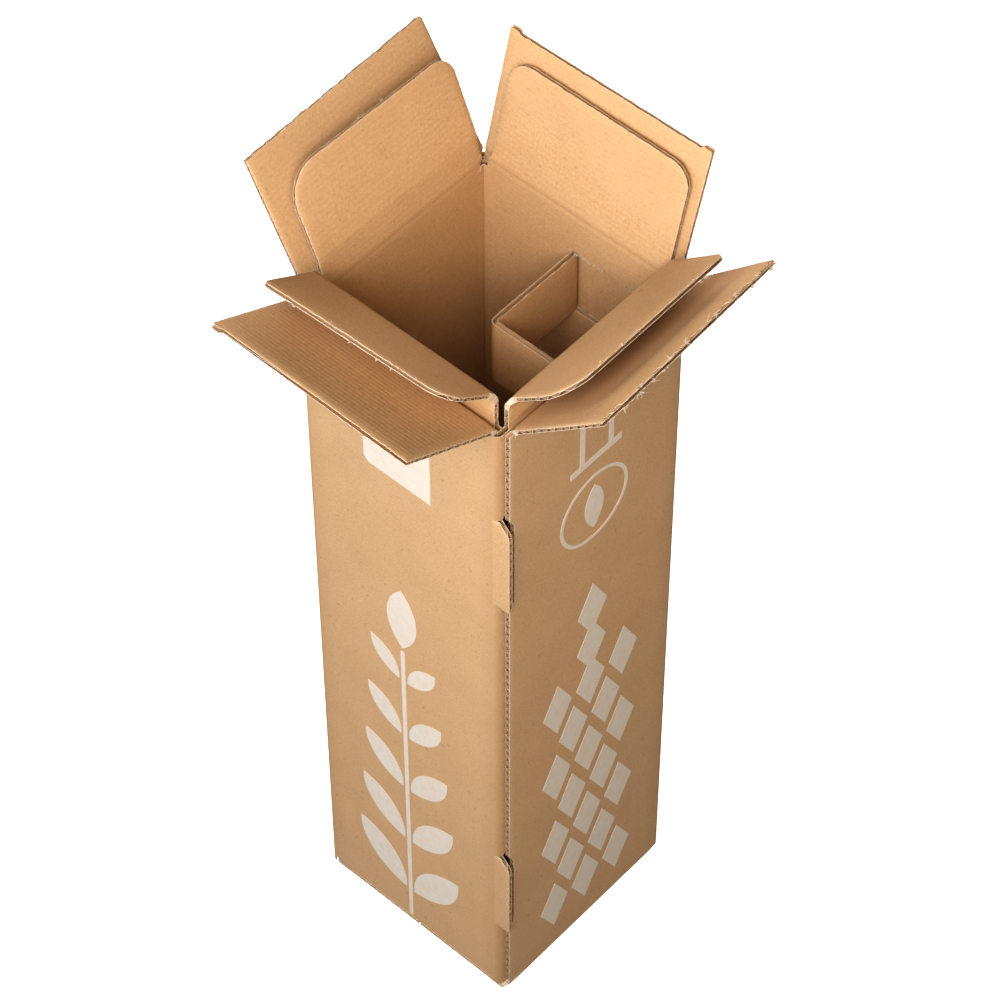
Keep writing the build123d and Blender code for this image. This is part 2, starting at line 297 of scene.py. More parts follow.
class Board:
    """Collects closed layers of board, then makes one object of them."""

    def __init__(self):
        self.parts = []
        self.count = 0

    def spike(self, base, aim, side, curl, size, width):
        """One torn fibre: a thin square rod that narrows and curls towards its tip."""
        third = np.cross(aim, side)
        rings = []
        for share, taper in FIBRE_RINGS:
            centre = base + aim * size * share + curl * max(share, 0) ** 2
            for k in range(4):
                a = math.pi * k / 2
                rings.append(centre + width * taper * (math.cos(a) * side + math.sin(a) * third))
        quads = [[0, 1, 2, 3], [8, 9, 10, 11]]
        for ring in (0, 4):
            for k in range(4):
                after = (k + 1) % 4
                quads.append([ring + k, ring + after, ring + 4 + after, ring + 4 + k])
        blank = np.zeros(len(rings))
        slots = np.full(len(quads), EDGE_SLOT)
        self.take(np.array(rings), np.array(quads), slots, np.stack([blank, blank], -1), blank, blank)

    def take(self, points, faces, slots, uv, rim, crease):
        """Adds faces with their slots, and points with their marks."""
        self.parts.append((points, faces + self.count, slots, uv, rim, crease))
        self.count += len(points)

    def slab(self, u, v, keep, under, over, rim, face_slot=FACE_SLOT, crease=None):
        """A closed layer between two grids of points, open nowhere, with a wall round each kept area."""
        crease = 0 * rim if crease is None else crease
        n, m = u.shape
        index = np.arange(n * m).reshape(n, m)
        a, b, c, d = index[:-1, :-1], index[1:, :-1], index[1:, 1:], index[:-1, 1:]
        cells = np.stack([a, b, c, d], -1)[keep]
        top = cells + n * m
        framed = np.pad(keep, 1)
        i, j = np.nonzero(framed[1:-1, 1:] != framed[1:-1, :-1])
        k, r = np.nonzero(framed[1:, 1:-1] != framed[:-1, 1:-1])
        p = np.concatenate([index[i, j], index[k, r]])
        q = np.concatenate([index[i + 1, j], index[k, r + 1]])
        sides = np.stack([p, q, q + n * m, p + n * m], -1)
        faces = np.concatenate([cells[:, ::-1], top, sides])
        slots = np.concatenate([np.full(2 * len(cells), face_slot), np.full(len(sides), EDGE_SLOT)])
        points = np.concatenate([under.reshape(-1, 3), over.reshape(-1, 3)])
        uv = np.stack([u.ravel(), v.ravel()], -1) * UV_PER_MM
        uv = np.concatenate([uv, uv + UV_FACE_SHIFT])
        self.take(points, faces, slots, uv, np.tile(rim.ravel(), 2), np.tile(crease.ravel(), 2))

    def finish(self, name):
        """One object of all that was collected, with its marks as attributes."""
        points, faces, slots, uvs, *marks = (np.concatenate(part) for part in zip(*self.parts))
        used, inverse = np.unique(faces, return_inverse=True)
        faces = inverse.reshape(faces.shape)
        mesh = bpy.data.meshes.new(name)
        mesh.from_pydata((points[used] * MM).tolist(), [], faces.tolist())
        mesh.polygons.foreach_set("material_index", slots.astype(np.int32))
        layer = mesh.uv_layers.new(name="UVMap")
        layer.data.foreach_set("uv", uvs[used][faces.ravel()].astype(np.float32).ravel())
        # rim marks the worn cut edges; crease marks the painted shade lines along creases and round corners
        for mark, values in zip(("rim", "crease"), marks):
            attribute = mesh.attributes.new(mark, "FLOAT", "POINT")
            attribute.data.foreach_set("value", values[used].astype(np.float32))
        for material in BOARD_MATERIALS:
            mesh.materials.append(material)
        tidy = bmesh.new()
        tidy.from_mesh(mesh)
        bmesh.ops.recalc_face_normals(tidy, faces=tidy.faces)
        tidy.to_mesh(mesh)
        tidy.free()
        mesh.shade_smooth()
        mesh.set_sharp_from_angle(angle=math.radians(SHARP_ANGLE))
        return new_object(name, mesh)


def whole(grid):
    """A mask that keeps every cell of a grid."""
    return np.ones((grid.shape[0] - 1, grid.shape[1] - 1), bool)


def cut_points(u, v, keep, is_cut):
    """The points of a grid that lie on a cut edge, as (u, v) rows."""
    framed = np.pad(keep, 1)
    corner = np.stack([framed[1:, 1:], framed[1:, :-1], framed[:-1, 1:], framed[:-1, :-1]])
    rim = corner.any(0) & ~corner.all(0)
    flat = np.stack([u[rim], v[rim]], -1)
    return flat[is_cut(flat[:, 0], flat[:, 1])]


def rim_distance(u, v, edge):
    """Each point's distance to the nearest cut edge, up to RIM_REACH."""
    flat = np.stack([u.ravel(), v.ravel()], -1)
    best = np.full(len(flat), RIM_REACH)
    for start in range(0, len(edge), RIM_BLOCK):
        part = edge[start:start + RIM_BLOCK]
        gap = np.hypot(flat[:, None, 0] - part[None, :, 0], flat[:, None, 1] - part[None, :, 1])
        best = np.minimum(best, gap.min(1))
    return best.reshape(u.shape)


def crushed(w, rim, amount):
    """Board is crushed thinner along its cut edges."""
    return BOARD / 2 + (w - BOARD / 2) * (1 - amount * np.exp(-rim / CRUSH_RUN))


def wave(v):
    """Mid-height of the fluted layer, whose flutes run along u."""
    swing = (BOARD - 2 * LINER - MEDIUM) / 2
    return BOARD / 2 + swing * np.sin(2 * math.pi * v / FLUTE)


def painted_crease_shade(distance):
    """How strongly a crease's painted shade line darkens the liner at a distance from it."""
    return np.exp(-((distance / CREASE_SHADE_WIDTH) ** 2))


def add_layer(board, u, v, keep, place, rim, heights, crush, **looks):
    """One closed layer between two heights in the board."""
    under, over = (place(u, v, crushed(w + 0 * u, rim, crush)) for w in heights)
    board.slab(u, v, keep, under, over, rim, **looks)


def add_liners(board, u, v, keep, place, edge, crush=CRUSH, crease=None):
    """The two paper faces of a stretch of board."""
    rim = rim_distance(u, v, edge)
    for heights in LINERS:
        add_layer(board, u, v, keep, place, rim, heights, crush, crease=crease)


def add_medium(board, u, v, place, edge, crush=CRUSH):
    """The fluted layer of a stretch of board."""
    heights = (wave(v) - MEDIUM / 2, wave(v) + MEDIUM / 2)
    rim = rim_distance(u, v, edge)
    add_layer(board, u, v, whole(u), place, rim, heights, crush, face_slot=MEDIUM_SLOT)


# Materials

class Nodes:
    """Short names for building a node tree."""

    def __init__(self, name, roughness, specular):
        self.material = bpy.data.materials.new(name)
        self.material.use_nodes = True
        self.tree = self.material.node_tree
        self.shader = self.tree.nodes["Principled BSDF"]
        self.shader.inputs["Roughness"].default_value = roughness
        self.shader.inputs["Specular IOR Level"].default_value = specular
        self.solid = self.add("ShaderNodeTexCoord").outputs["Object"]

    def link(self, source, target):
        self.tree.links.new(source, target)

    def feed(self, sockets, values):
        """Gives each socket its constant, its colour or its link."""
        for socket, value in zip(sockets, values):
            if isinstance(value, (int, float)):
                socket.default_value = value
            elif isinstance(value, tuple):
                socket.default_value = (*value, 1)
            else:
                self.link(value, socket)

    def add(self, kind, **values):
        """A node with its settings and the defaults of its sockets."""
        node = self.tree.nodes.new(kind)
        for key, value in values.items():
            if hasattr(node, key):
                setattr(node, key, value)
            else:
                node.inputs[key.replace("_", " ")].default_value = value
        return node

    def stretched(self, source, scale, turn=0.0):
        """Texture coordinates, scaled and turned."""
        node = self.add("ShaderNodeMapping", Scale=scale, Rotation=(0, 0, turn))
        self.link(source, node.inputs["Vector"])
        return node.outputs["Vector"]

    def noise(self, vector, scale, detail=3.0, rough=0.55):
        node = self.add("ShaderNodeTexNoise", Scale=scale, Detail=detail, Roughness=rough)
        self.link(vector, node.inputs["Vector"])
        return node.outputs["Fac"]

    def ramp(self, source, low, high, out_low=0.0, out_high=1.0):
        """A value that goes evenly from out_low to out_high as the source goes from low to high."""
        node = self.add("ShaderNodeMapRange", From_Min=low, From_Max=high, To_Min=out_low, To_Max=out_high)
        self.link(source, node.inputs["Value"])
        return node.outputs["Result"]

    def math(self, operation, a, b=0.0):
        node = self.add("ShaderNodeMath", operation=operation)
        self.feed(node.inputs, (a, b))
        return node.outputs["Value"]

    def mix(self, factor, a, b):
        """Colour a turned into b by a factor. Each is a constant or a socket."""
        node = self.add("ShaderNodeMix", data_type="RGBA")
        self.feed([node.inputs[i] for i in (0, 6, 7)], (factor, a, b))
        return node.outputs[2]

    def finish(self, colour, height=None, depth=0.0):
        """The material with its colour, and a bump where a height is given."""
        self.link(colour, self.shader.inputs["Base Color"])
        if height is not None:
            bump = self.add("ShaderNodeBump", Strength=1.0, Distance=depth)
            self.link(height, bump.inputs["Height"])
            self.link(bump.outputs["Normal"], self.shader.inputs["Normal"])
        return self.material


KRAFT = (0.555, 0.352, 0.195)
KRAFT_DARK = (0.41, 0.243, 0.122)
KRAFT_LIGHT = (0.67, 0.465, 0.295)
FRAYED = (0.68, 0.59, 0.50)
EDGE_DARK = (0.30, 0.19, 0.105)
# Painted shade: the dark line along creases and round corners
CREASE_SHADE_COLOUR = (0.33, 0.19, 0.09)
FLUTE_DARK = (0.36, 0.245, 0.155)
EDGE_BODY = (0.47, 0.365, 0.275)
INK = (0.66, 0.615, 0.575)
FLOOR_PALE = (0.95, 0.95, 0.95)
FLOOR_HAZE = (0.93, 0.93, 0.93)

# Paper fibres: their directions in radians with their shares of tint, and how the noise is drawn out
FIBRES = ((0.15, 0.28), (1.35, 0.22), (2.3, 0.18))
PALE_FIBRE = (45, 400, 1)
DARK_FIBRE = (55, 480, 1)
DARK_TURN = 0.8
GRAIN_SCALE = 900

# How much each mark tints the liner (pale wear at cut edges, painted shade along creases, painted shade on
# one side of each flute ridge), and the bumps: their shares, and their depths in metres
WORN_TINT = 0.55
CREASE_SHADE_TINT = 0.55
WASHBOARD_SHADE_TINT = 0.24
WASHBOARD_BUMP = 0.6
GRAIN_BUMP = 0.9
LINER_DEPTH = 0.00006
EDGE_DEPTH = 0.0001
MEDIUM_DEPTH = 0.00005
INK_DEPTH = 0.00002


def kraft_colour(nodes, flat):
    """Mottled kraft liner: clouds, fibres both ways, and dark and pale specks."""
    clouds = nodes.noise(nodes.solid, 38, 3)
    colour = nodes.mix(nodes.ramp(clouds, 0.3, 0.7, 0.0, 0.30), KRAFT, KRAFT_DARK)
    grain = nodes.noise(nodes.solid, GRAIN_SCALE, 3, 0.65)
    colour = nodes.mix(nodes.ramp(grain, 0.45, 0.75, 0.0, 0.42), colour, KRAFT_LIGHT)
    colour = nodes.mix(nodes.ramp(grain, 0.5, 0.25, 0.0, 0.40), colour, KRAFT_DARK)
    for turn, share in FIBRES:
        fibres = nodes.noise(nodes.stretched(flat, PALE_FIBRE, turn), 1.0, 2)
        colour = nodes.mix(nodes.ramp(fibres, 0.60, 0.74, 0.0, share), colour, KRAFT_LIGHT)
        fibres = nodes.noise(nodes.stretched(flat, DARK_FIBRE, turn + DARK_TURN), 1.0, 2)
        colour = nodes.mix(nodes.ramp(fibres, 0.64, 0.76, 0.0, share), colour, EDGE_DARK)
    specks = nodes.noise(nodes.solid, 420, 1)
    colour = nodes.mix(nodes.ramp(specks, 0.70, 0.76, 0.0, 0.5), colour, EDGE_DARK)
    return colour, grain


def kraft_material():
    """The liner: pale and worn at cut edges, with painted shade along creases and round corners, and its
    flutes showing as a washboard of bumps with painted shade on one side of each ridge.
    """
    nodes = Nodes("kraft_liner", 0.82, 0.22)
    flat = nodes.add("ShaderNodeUVMap").outputs["UV"]
    colour, grain = kraft_colour(nodes, flat)
    rim = nodes.add("ShaderNodeAttribute", attribute_name="rim").outputs["Fac"]
    patches = nodes.ramp(nodes.noise(nodes.solid, 700, 3), 0.35, 0.75, 0.0, 0.7)
    worn = nodes.ramp(nodes.math("SUBTRACT", rim, patches), 0.25, -0.4, 0.0, WORN_TINT)
    colour = nodes.mix(worn, colour, FRAYED)
    # Painted shade: a dark line along each crease and round corner, from the crease attribute
    crease_shading = nodes.add("ShaderNodeAttribute", attribute_name="crease").outputs["Fac"]
    colour = nodes.mix(nodes.ramp(crease_shading, 0.0, 1.0, 0.0, CREASE_SHADE_TINT), colour, CREASE_SHADE_COLOUR)
    row = nodes.add("ShaderNodeSeparateXYZ")
    nodes.link(flat, row.inputs[0])
    drift = nodes.math("MULTIPLY", nodes.noise(nodes.stretched(flat, (12, 60, 1)), 1.0, 3), 5.0)
    ridges = nodes.math("MULTIPLY", row.outputs["Y"], 4 * math.pi / (FLUTE * UV_PER_MM))
    swell = nodes.ramp(nodes.noise(flat, 30, 2), 0.35, 0.7, 0.15, 1.0)
    washboard = nodes.math("MULTIPLY", nodes.math("SINE", nodes.math("ADD", ridges, drift)), swell)
    raised = nodes.math("MULTIPLY", washboard, WASHBOARD_BUMP)
    height = nodes.math("ADD", raised, nodes.math("MULTIPLY", grain, GRAIN_BUMP))
    # Painted shade: the liner is darker on one side of each flute ridge
    colour = nodes.mix(nodes.ramp(washboard, -1.0, 1.0, 0.0, WASHBOARD_SHADE_TINT), colour, KRAFT_DARK)
    return nodes.finish(colour, height, LINER_DEPTH)


def edge_material():
    """The cut edge of the liners, fuzzy and pale."""
    nodes = Nodes("cut_board_edge", 0.95, 0.1)
    fuzz = nodes.noise(nodes.solid, 1500, 4, 0.7)
    colour = nodes.mix(nodes.ramp(fuzz, 0.35, 0.65), EDGE_BODY, FRAYED)
    return nodes.finish(colour, fuzz, EDGE_DEPTH)


def medium_material():
    """The fluted layer, which is rougher and darker than the liners."""
    nodes = Nodes("fluted_medium", 0.95, 0.1)
    fuzz = nodes.noise(nodes.solid, GRAIN_SCALE, 3, 0.6)
    colour = nodes.mix(nodes.ramp(fuzz, 0.35, 0.7), FLUTE_DARK, KRAFT_DARK)
    return nodes.finish(colour, fuzz, MEDIUM_DEPTH)


def ink_material():
    """White ink that lets the board show through in blotches and specks."""
    nodes = Nodes("white_ink", 0.7, 0.25)
    blotches = nodes.noise(nodes.solid, 260, 4, 0.6)
    colour = nodes.mix(nodes.ramp(blotches, 0.40, 0.72, 0.02, 0.38), INK, KRAFT_LIGHT)
    specks = nodes.noise(nodes.solid, 1300, 2)
    colour = nodes.mix(nodes.ramp(specks, 0.62, 0.74, 0.0, 0.55), colour, KRAFT)
    return nodes.finish(colour, blotches, INK_DEPTH)


def floor_material():
    """A pale floor that glows a little, so it shows as white as the room behind it."""
    nodes = Nodes("pale_floor", 0.9, 0.1)
    haze = nodes.noise(nodes.solid, 3, 2)
    nodes.shader.inputs["Emission Color"].default_value = (1, 1, 1, 1)
    nodes.shader.inputs["Emission Strength"].default_value = FLOOR_GLOW
    return nodes.finish(nodes.mix(haze, FLOOR_HAZE, FLOOR_PALE))


# The board's materials, in the order of their slots
kraft = kraft_material()
cut_edge = edge_material()
white_ink = ink_material()
BOARD_MATERIALS = (kraft, cut_edge, medium_material())


# Wall frames

def on_wall(wall, out, along, height):
    """Points from a distance outwards, a place along the wall and a height."""
    ox, oy = OUTWARD[wall]
    along = along + 0 * out
    height = height + 0 * out
    if ox:
        return np.stack([ox * out, along, height], -1)
    return np.stack([along, oy * out, height], -1)


def hinge_at(joint):
    """A crease's distance outwards and height, from the frame."""
    x, y, z = next(j["pos_m"] for j in frame["joints"] if j["name"] == joint)
    return max(abs(x), abs(y)) / MM, z / MM


def ended(ends, along, span):
    """A value that changes evenly along a crease, from one end to the other."""
    share = (along - span[0]) / (span[1] - span[0])
    return ends[0] + (ends[1] - ends[0]) * share


def heading(angle):
    """Directions along a flap and across it towards its inside face, as (out, up) pairs."""
    a = np.radians(angle)
    return (np.cos(a), np.sin(a)), (-np.sin(a), np.cos(a))


class Fold:
    """A crease seen along itself: a first run, a round turn and a second run, as (out, up) places."""

    def __init__(self, hinge, across, first, second, inside=1, score=SCORE_DEPTH):
        self.hinge, self.across, self.inside, self.score = hinge, across, inside, score
        self.first, self.second = np.radians(first), np.radians(second)

    def directions(self, angle):
        """The direction along a run, and the one towards its inside face."""
        along = np.stack([np.cos(angle), np.sin(angle)], -1)
        return along, np.stack([-along[..., 1], along[..., 0]], -1) * self.inside

    def place(self, t, w, run):
        """t is the distance along the sheet past the crease. Within the run the path is one smooth turn."""
        d0, n0 = self.directions(self.first)
        d1, n1 = self.directions(self.second)
        base = np.array(self.hinge)
        shift = (w - self.across)[..., None]
        corner = base + shift * (n0 + n1) / (1 + (n0 * n1).sum(-1, keepdims=True))
        t = t[..., None]
        before = base + shift * n0 + d0 * t
        after = base + shift * n1 + d1 * t
        start = base + shift * n0 - d0 * run
        stop = base + shift * n1 + d1 * run
        q = np.clip((t + run) / (2 * run), 0, 1)
        turn = (1 - q) ** 2 * start + 2 * q * (1 - q) * corner + q**2 * stop
        path = np.where(t < -run, before, np.where(t > run, after, turn))
        score = self.score * np.exp(-((t / SCORE_WIDTH) ** 2))
        middle = n0 + n1
        middle = middle / np.linalg.norm(middle, axis=-1, keepdims=True)
        return path - middle * score * np.sign(w - BOARD / 2)[..., None]


# Creases and flaps

def fold_strip(board, wall, fold_of, root, tip, run):
    """The crushed board of a crease, narrower at its root than where the flap begins."""
    t_lines = np.linspace(-run, run, STRIP_ROWS)
    share = np.linspace(0, 1, STRIP_COLUMNS)
    ease = np.clip((t_lines + EASE_START) / EASE_RUN, 0, 1)
    low = root[0] + (tip[0] - root[0]) * ease
    high = root[1] + (tip[1] - root[1]) * ease
    u = low[None, :] + (high - low)[None, :] * share[:, None]
    t = np.tile(t_lines, (len(share), 1))
    edge = cut_points(u, t, whole(u), lambda a, b: (a < low.max() + TINY) | (a > high.min() - TINY))
    rim = rim_distance(u, t, edge)
    sides = []
    for face in (0.0, BOARD):
        path = fold_of(u).place(t, crushed(face + 0 * u, rim, STRIP_CRUSH), run)
        sides.append(on_wall(wall, path[..., 0], u, path[..., 1]))
    # The crease attribute paints a shade line along the middle of the fold
    board.slab(u, t, whole(u), *sides, rim, crease=painted_crease_shade(t))


def crease_piece(flap):
    """A crease between the sleeve and a flap, bent to meet the flap in its pose."""
    board = Board()
    fold_strip(board, flap.wall, flap.fold, root_span(flap.kind, flap.wall), flap.span, flap.run)
    piece = board.finish(flap.joint)
    middle = np.array([sum(flap.span) / 2])
    place = flap.fold(middle).place
    ends = [place(np.array([t]), np.array([BOARD / 2]), flap.run)[0] for t in (-flap.run, flap.run)]
    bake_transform(piece)


def fray(board, points, outward, rng, length=(0.4, 1.7), each=5, scatter=0.5, width=(0.05, 0.12)):
    """Tufts of torn paper fibre that stand out of a cut edge."""
    for point, direction in zip(points, outward):
        for _ in range(each):
            aim = np.array(direction) + rng.normal(0, scatter, 3)
            aim /= np.linalg.norm(aim)
            side = np.cross(aim, rng.normal(0, 1, 3))
            side /= np.linalg.norm(side)
            size = rng.uniform(*length)
            curl = side * rng.uniform(-FIBRE_CURL, FIBRE_CURL) * size
            board.spike(point + rng.normal(0, FIBRE_SPREAD, 3), aim, side, curl, size, rng.uniform(*width))


def crease_run(joint):
    """How far a crease's crushed board reaches. It is rounder at the top of a riser."""
    return UPPER_RUN if joint in ("inner_crease_front", "inner_crease_right") else FOLD_RUN


class Flap:
    """A top flap: its crease, its place in space and its outline."""

    def __init__(self, wall, kind):
        self.wall, self.kind = wall, kind
        self.name = f"{kind}_flap_{wall}"
        self.joint = f"{kind}_crease_{wall}"
        self.hinge = hinge_at(self.joint)
        self.run = crease_run(self.joint)
        outer = kind == "outer"
        trim = TRIM.get(self.name, NO_TRIM)
        self.crease = (OUTER_SPAN if outer else INNER_SPAN)[wall]
        self.span = (self.crease[0] - trim[0], self.crease[1] + trim[1])
        self.lift = (OUTER_LIFT if outer else INNER_LIFT)[wall]
        self.across = 0.0 if outer else BOARD / 2
        self.foot = RISER if not outer and wall in ("back", "left") else 0.0
        self.score = SOFT_SCORE if self.foot else SCORE_DEPTH
        extra = SIDE_EXTRA if wall in SIDES else 0.0
        self.reach = self.foot + extra + (OUTER_REACH if outer else INNER_REACH)
        self.slant = trim[2:]
        self.bend = LEFT_BEND if self.name == "inner_flap_left" else 0.0
        self.round = (0.0, 0.0) if outer else CORNER_ROUND[wall]
        self.proud = STEP_PROUD.get(self.name, (0.0, 0.0))

    def fold(self, u):
        lift = ended(self.lift, u, self.crease)
        return Fold(self.hinge, self.across, 90 + 0 * lift, lift, score=self.score)

    def step(self, u):
        """How far the free edge stands out of its line near the corners."""
        return sum(p * (np.abs(u - end) < STEP_LENGTH) for end, p in zip(self.span, self.proud))

    def place(self, u, v, w):
        """Points of the flap. Past an upper crease it leans further out."""
        lift = ended(self.lift, u, self.crease)
        along, over = heading(lift)
        shift = w - self.across
        out = self.hinge[0] + along[0] * v + over[0] * shift
        up = self.hinge[1] + along[1] * v + over[1] * shift
        if self.foot:
            mid, base = w - BOARD / 2, self.across - BOARD / 2
            bent = []
            for hinge, a, o, a2, o2 in zip(self.hinge, along, over, *heading(lift - self.bend)):
                bent.append(hinge + a * self.foot + a2 * (v - self.foot) + o2 * mid - o * base)
            out, up = np.where(v > self.foot, bent, (out, up))
        return on_wall(self.wall, out, u, up)

    def grid(self, share, v_lines):
        """u and v over the outline, whose free corners may be round."""
        insets = []
        for radius in self.round:
            past = np.clip(v_lines - (self.reach - radius), 0, None)
            insets.append(radius - np.sqrt(np.clip(radius**2 - past**2, 0, None)))
        low, high = self.span[0] + insets[0], self.span[1] - insets[1]
        u = low[None, :] + (high - low)[None, :] * share[:, None]
        stretch = 1 + ended(self.slant, u, self.span) / (self.reach - self.run)
        return u, self.run + (v_lines - self.run)[None, :] * stretch

    def corner_lines(self):
        """Grid lines that the round corners need."""
        turn = np.radians(np.linspace(0, 90, 13))
        return [line for r in self.round if r for line in self.reach - r + r * np.sin(turn)]


def flap_lines(flap):
    """Grid lines across a flap, closer at its crease, its free edge and its round corners."""
    extra = [flap.reach - e for e in EDGE_STEPS] + [flap.run + 1.0] + flap.corner_lines()
    if flap.foot:
        extra += [flap.foot + e for e in FOOT_STEPS]
    return joined(spread(flap.run, flap.reach, FLAP_STEP, extra), 0.05)


def tufts_at(board, flap, spots, rng, **look):
    """Tufts along a flap's free edge, on one liner or the other."""
    spots = np.asarray(spots, float)
    depth = rng.choice((0.3, BOARD - 0.3), len(spots))
    edge = flap.reach + ended(flap.slant, spots, flap.span)
    tips = flap.place(spots, edge, depth)
    fray(board, tips, tips - flap.place(spots, edge - 1, depth), rng, **look)


def flap_piece(flap, rng, tear, tufts):
    """The flap past its crease: two liners and the fluted layer between them."""
    board = Board()
    width = flap.span[1] - flap.span[0]
    share = edged(0, width, ROUGH_STEP if tear > ROUGH_TEAR else SMOOTH_STEP) / width
    v_lines = flap_lines(flap)
    u, v = flap.grid(share, v_lines)

    def is_cut(a, b):
        at_end = (a < flap.span[0] + TINY) | (a > flap.span[1] - TINY)
        return (b > flap.run + TINY) | at_end

    edge = cut_points(u, v, whole(u), is_cut)
    bites = torn(u[:, -1], tear, rng)
    behind = ROW_GAP * np.arange(len(v_lines))[::-1]
    for heights in LINERS:
        ru, rv = u.copy(), v.copy()
        rv[:, -1] += smooth_noise(u[:, -1], *EDGE_WAVER, rng) + bites + flap.step(u[:, -1])
        rv = np.minimum(rv, rv[:, -1:] - behind)
        ru[0, :] += smooth_noise(v_lines, *END_WAVER, rng)
        ru[-1, :] += smooth_noise(v_lines, *END_WAVER, rng)
        rim = rim_distance(ru, rv, edge)
        add_layer(board, ru, rv, whole(u), flap.place, rim, heights, FREE_CRUSH)
    fine = joined(spread(flap.run, flap.reach - MEDIUM_INSET, FLUTE_STEP, flap.corner_lines()), 0.03)
    ends = (0.25, 1.5, STEP_LENGTH - 0.1, STEP_LENGTH + 0.1)
    mu, mv = flap.grid(edged(0, width, 12, ends) / width, fine)
    mv[:, -1] += flap.step(mu[:, -1])
    add_medium(board, mu, mv, flap.place, edge, FREE_CRUSH)
    low, high = flap.span[0] + flap.round[0] + TUFT_INSET, flap.span[1] - flap.round[1] - TUFT_INSET
    tufts_at(board, flap, rng.uniform(low, high, tufts), rng)
    longest, spots = TORN_SPOTS.get(flap.name, (0.0, ()))
    tufts_at(board, flap, spots, rng, length=(0.4 * longest, longest), **TORN_LOOK)
    piece = board.finish(flap.name + "_board")
    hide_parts(flap.name)
    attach(piece, flap.name)


def torn(lines, size, rng):
    """Short bites out of a free edge, up to a size deep."""
    bites = np.zeros(len(lines))
    for _ in range(int((lines[-1] - lines[0]) / BITE_PITCH)):
        at = rng.uniform(lines[0], lines[-1])
        half = rng.uniform(*BITE_HALF)
        bites[np.abs(lines - at) < half] = -rng.uniform(*BITE_DEPTH) * size
    return bites


# Wound sheet

def path_rows(corners, radius):
    """Straight runs and round folds of a path, as rows of start, x, y, heading and bend, and its length."""
    rows = []
    done = 0.0
    x, y = corners[0]
    for i, (cx, cy) in enumerate(corners[1:], 1):
        last = i == len(corners) - 1
        angle = math.atan2(cy - y, cx - x)
        run = math.hypot(cx - x, cy - y) - (0 if last else radius)
        rows.append((done, x, y, angle, 0.0))
        done += run
        if not last:
            nx, ny = corners[i + 1]
            after = math.atan2(ny - cy, nx - cx)
            turn = (after - angle + math.pi) % (2 * math.pi) - math.pi
            x, y = x + run * math.cos(angle), y + run * math.sin(angle)
            rows.append((done, x, y, angle, math.copysign(1 / radius, turn)))
            done += radius * math.pi / 2
            x, y = cx + radius * math.cos(after), cy + radius * math.sin(after)
    return np.array(rows), done


def along_path(rows, s):
    """Where a path is after a distance s, and its heading there."""
    index = np.clip(np.searchsorted(rows[:, 0], s, side="right") - 1, 0, len(rows) - 1)
    start, x, y, angle, bend = np.moveaxis(rows[index], -1, 0)
    d = s - start
    turn = angle + bend * d
    safe = np.where(bend == 0, 1.0, bend)
    px = x + np.where(bend == 0, d * np.cos(angle), (np.sin(turn) - np.sin(angle)) / safe)
    py = y + np.where(bend == 0, d * np.sin(angle), (np.cos(angle) - np.cos(turn)) / safe)
    return px, py, turn


WINDING = [
    (START_EDGE, -INNER_MID),
    (-INNER_MID, -INNER_MID),
    (-INNER_MID, INNER_MID),
    (INNER_MID, INNER_MID),
    (INNER_MID, -OUTER_MID),
    (-OUTER_MID, -OUTER_MID),
    (-OUTER_MID, OUTER_MID),
    (OUTER_MID, OUTER_MID),
    (OUTER_MID, END_EDGE),
]
PANELS = [(turn, wall) for turn in ("inner", "outer") for wall in ("front", "left", "back", "right")]
BAND_ROUTE = [(-BAND_REACH, INNER_MID), (0, INNER_MID), (0, 0), (INNER_MID, 0), (INNER_MID, -BAND_REACH)]
ROWS, SHEET_LENGTH = path_rows(WINDING, FOLD_RADIUS)
BAND_ROWS, BAND_LENGTH = path_rows(BAND_ROUTE, FOLD_RADIUS)


def sheet_at(panel, along):
    """The distance along the sheet of a place on one of its panels."""
    start, x, y, angle, _ = ROWS[2 * PANELS.index(panel)]
    return start + (along - x) * math.cos(angle) + (along - y) * math.sin(angle)


def sheet_span(panel, span):
    """The two ends of a span of a panel, as distances along the sheet."""
    return tuple(sorted(sheet_at(panel, a) for a in span))


BAND_SPAN = (sheet_at(("inner", "back"), -BAND_REACH), sheet_at(("inner", "right"), -BAND_REACH))
TAB_WINDOW = sheet_at(("inner", "right"), -FOLD_LINE + TAB_REACH + TAB_GAP)


def in_band(s, h):
    return (h > BAND_BOTTOM) & (h < BAND_TOP) & (s > BAND_SPAN[0]) & (s < BAND_SPAN[1])


def place_sheet(s, h, w):
    """Points of the standing sheet. The corner band follows its own way round."""
    x, y, turn = along_path(ROWS, s)
    share = (s - BAND_SPAN[0]) / (BAND_SPAN[1] - BAND_SPAN[0])
    bx, by, band_turn = along_path(BAND_ROWS, share * BAND_LENGTH)
    band = in_band(s, h)
    x, y, turn = np.where(band, bx, x), np.where(band, by, y), np.where(band, band_turn, turn)
    score = 0.0
    for wall, crease in (("front", END_CREASE), ("right", SIDE_CREASE)):
        low, high = sheet_span(("inner", wall), RISER_SPAN[wall])
        depth = SCORE_DEPTH * np.exp(-(((h - crease) / SCORE_WIDTH) ** 2))
        score = score + ((s >= low) & (s <= high)) * depth
    aside = BOARD / 2 - w + score * np.sign(w - BOARD / 2)
    return np.stack([x - np.sin(turn) * aside, y + np.cos(turn) * aside, h + 0 * x], -1)


